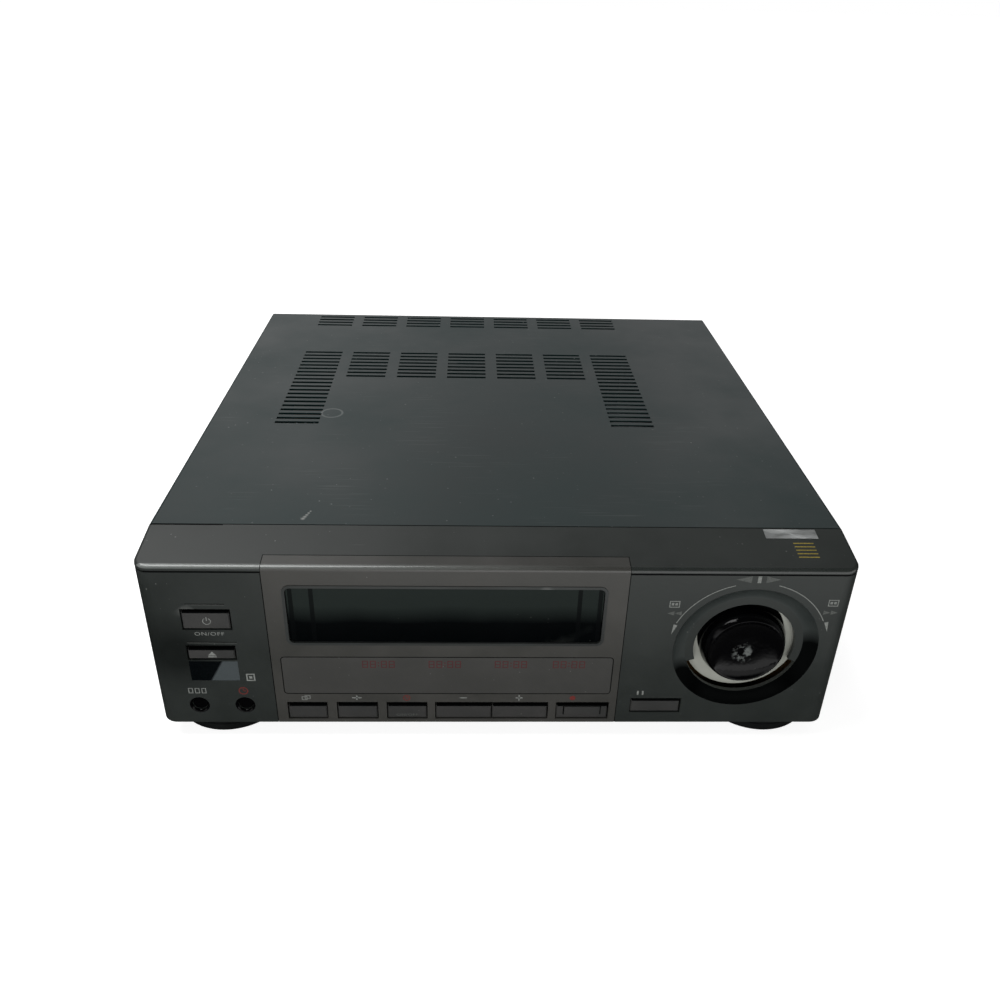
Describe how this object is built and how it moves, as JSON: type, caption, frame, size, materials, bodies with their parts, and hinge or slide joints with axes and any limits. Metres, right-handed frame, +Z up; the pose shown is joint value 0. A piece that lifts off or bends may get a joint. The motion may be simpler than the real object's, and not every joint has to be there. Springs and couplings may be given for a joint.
{
  "type": "video cassette recorder",
  "caption": "Cassette recorder in a vented sheet-metal case: hinged window door over a motor-driven loader, display, push buttons and a shuttle dial in a dished recess.",
  "frame": {"origin": "centre of the footprint, on the plane that the feet stand on", "axes": "+X to the right seen from the front, +Y from the front to the rear, +Z up"},
  "size_m": [0.355, 0.3714, 0.113],
  "materials": {
    "cover_paint": "satin dark grey paint with a fine grain",
    "bezel_plastic": "fine moulded texture",
    "panel_plastic": "satin",
    "rim_plastic": "satin silver paint",
    "smoked_plastic": "polished",
    "filter_plastic": "polished",
    "button_plastic": "satin",
    "knob_plastic": "polished",
    "ring_plastic": "satin",
    "zinc_sheet": "zinc plated sheet",
    "machined_alloy": "turned",
    "ground_steel": "ground",
    "inner_plastic": "moulded",
    "white_plastic": "moulded",
    "tube_glass": "clear",
    "board_laminate": "lacquered laminate",
    "black_resin": "moulded resin",
    "silicon_steel": "varnished laminations",
    "winding_tape": "wound tape",
    "tyre_rubber": "ground rubber",
    "foot_plastic": "moulded"
  },
  "bodies": {
    "case": {"top_cover": "cover_paint", "bottom_chassis": "zinc_sheet", "rear_panel": "cover_paint", "feet": "foot_plastic", "front_bezel": "bezel_plastic", "centre_panel": "panel_plastic", "window_frame": "rim_plastic", "display_window": "filter_plastic", "display_tube": "tube_glass", "sensor_window": "smoked_plastic", "shuttle_encoder": "zinc_sheet", "front_board": "board_laminate", "front_switches": "inner_plastic", "cassette_chute": "inner_plastic", "loader_frame": "zinc_sheet", "loading_motor": "zinc_sheet", "deck_plate": "zinc_sheet", "lower_drum": "machined_alloy", "capstan_motor": "zinc_sheet", "guide_posts": "ground_steel", "main_board": "board_laminate", "board_chips": "black_resin", "power_capacitor": "black_resin", "shield_can": "zinc_sheet", "tuner_module": "zinc_sheet", "jack_block": "inner_plastic", "mains_inlet": "inner_plastic", "power_board": "board_laminate", "transformer_core": "silicon_steel", "transformer_winding": "winding_tape", "heat_sink": "machined_alloy"},
    "cassette_door": {"cassette_door": "smoked_plastic"},
    "slider": {"holder_slider": "zinc_sheet"},
    "holder": {"cassette_holder": "zinc_sheet"},
    "loading_wheel": {"loading_gear": "white_plastic"},
    "shuttle_dial": {"shuttle_knob": "knob_plastic", "shuttle_ring": "ring_plastic"},
    "drum_rotor": {"upper_drum": "machined_alloy"},
    "capstan_rotor": {"capstan": "ground_steel"},
    "pinch_lever": {"pinch_arm": "zinc_sheet"},
    "pinch_wheel": {"pinch_roller": "tyre_rubber"},
    "supply_table": {"supply_reel": "white_plastic"},
    "takeup_table": {"takeup_reel": "white_plastic"},
    "power_button": {"power_button": "button_plastic"},
    "eject_button": {"eject_button": "button_plastic"},
    "counter_reset_button": {"counter_reset_button": "button_plastic"},
    "quick_timer_button": {"quick_timer_button": "button_plastic"},
    "synchro_edit_button": {"synchro_edit_button": "button_plastic"},
    "edit_button": {"edit_button": "button_plastic"},
    "timer_record_button": {"timer_record_button": "button_plastic"},
    "channel_down_button": {"channel_down_button": "button_plastic"},
    "channel_up_button": {"channel_up_button": "button_plastic"},
    "record_button": {"record_button": "button_plastic"},
    "pause_button": {"pause_button": "button_plastic"}
  },
  "joints": [
    {"name": "door_swing", "type": "hinge", "parent": "case", "child": "cassette_door", "pos_m": [-0.027, -0.18005, 0.0943], "axis": [1, 0, 0], "range_deg": [0, 80], "stiffness_Nm_per_rad": 0.004, "springref_deg": -20.05},
    {"name": "slide_in", "type": "slide", "parent": "case", "child": "slider", "axis": [0, 1, 0], "range_m": [0, 0.045]},
    {"name": "holder_lower", "type": "slide", "parent": "slider", "child": "holder", "axis": [0, 0, -1], "range_m": [0, 0.022]},
    {"name": "gear_turn", "type": "hinge", "parent": "case", "child": "loading_wheel", "pos_m": [0.0184, -0.08265, 0.09872], "axis": [1, 0, 0], "range_deg": [0, 287.48]},
    {"name": "dial_turn", "type": "hinge", "parent": "case", "child": "shuttle_dial", "pos_m": [0.1266, -0.18365, 0.0596], "axis": [0, 1, 0], "range_deg": [-70, 70], "stiffness_Nm_per_rad": 0.02},
    {"name": "drum_spin", "type": "hinge", "parent": "case", "child": "drum_rotor", "pos_m": [-0.027, 0.00035, 0.0352], "axis": [0, 0.0872, 0.9962], "continuous": true},
    {"name": "capstan_spin", "type": "hinge", "parent": "case", "child": "capstan_rotor", "pos_m": [0.007, -0.01765, 0.0352], "axis": [0, 0, 1], "continuous": true},
    {"name": "pinch_swing", "type": "hinge", "parent": "case", "child": "pinch_lever", "pos_m": [0.01951, 0.00434, 0.0352], "axis": [0, 0, -1], "range_deg": [0, 24]},
    {"name": "pinch_spin", "type": "hinge", "parent": "pinch_lever", "child": "pinch_wheel", "pos_m": [0.02263, -0.01542, 0.0456], "axis": [0, 0, 1], "continuous": true},
    {"name": "supply_spin", "type": "hinge", "parent": "case", "child": "supply_table", "pos_m": [-0.0485, -0.07265, 0.0352], "axis": [0, 0, 1], "continuous": true},
    {"name": "takeup_spin", "type": "hinge", "parent": "case", "child": "takeup_table", "pos_m": [-0.0055, -0.07265, 0.0352], "axis": [0, 0, 1], "continuous": true},
    {"name": "power_press", "type": "slide", "parent": "case", "child": "power_button", "axis": [0, 1, 0], "range_m": [0, 0.0006], "stiffness_N_per_m": 400},
    {"name": "eject_press", "type": "slide", "parent": "case", "child": "eject_button", "axis": [0, 1, 0], "range_m": [0, 0.0006], "stiffness_N_per_m": 400},
    {"name": "counter_reset_press", "type": "slide", "parent": "case", "child": "counter_reset_button", "axis": [0, 1, 0], "range_m": [0, 0.0006], "stiffness_N_per_m": 400},
    {"name": "quick_timer_press", "type": "slide", "parent": "case", "child": "quick_timer_button", "axis": [0, 1, 0], "range_m": [0, 0.0006], "stiffness_N_per_m": 400},
    {"name": "synchro_edit_press", "type": "slide", "parent": "case", "child": "synchro_edit_button", "axis": [0, 1, 0], "range_m": [0, 0.0006], "stiffness_N_per_m": 400},
    {"name": "edit_press", "type": "slide", "parent": "case", "child": "edit_button", "axis": [0, 1, 0], "range_m": [0, 0.0006], "stiffness_N_per_m": 400},
    {"name": "timer_record_press", "type": "slide", "parent": "case", "child": "timer_record_button", "axis": [0, 1, 0], "range_m": [0, 0.0006], "stiffness_N_per_m": 400},
    {"name": "channel_down_press", "type": "slide", "parent": "case", "child": "channel_down_button", "axis": [0, 1, 0], "range_m": [0, 0.0006], "stiffness_N_per_m": 400},
    {"name": "channel_up_press", "type": "slide", "parent": "case", "child": "channel_up_button", "axis": [0, 1, 0], "range_m": [0, 0.0006], "stiffness_N_per_m": 400},
    {"name": "record_press", "type": "slide", "parent": "case", "child": "record_button", "axis": [0, 1, 0], "range_m": [0, 0.0006], "stiffness_N_per_m": 400},
    {"name": "pause_press", "type": "slide", "parent": "case", "child": "pause_button", "axis": [0, 1, 0], "range_m": [0, 0.0006], "stiffness_N_per_m": 400}
  ],
  "couplings": [
    {"joint": "gear_turn", "follows": "slide_in", "rad_per_m": 111.11}
  ]
}
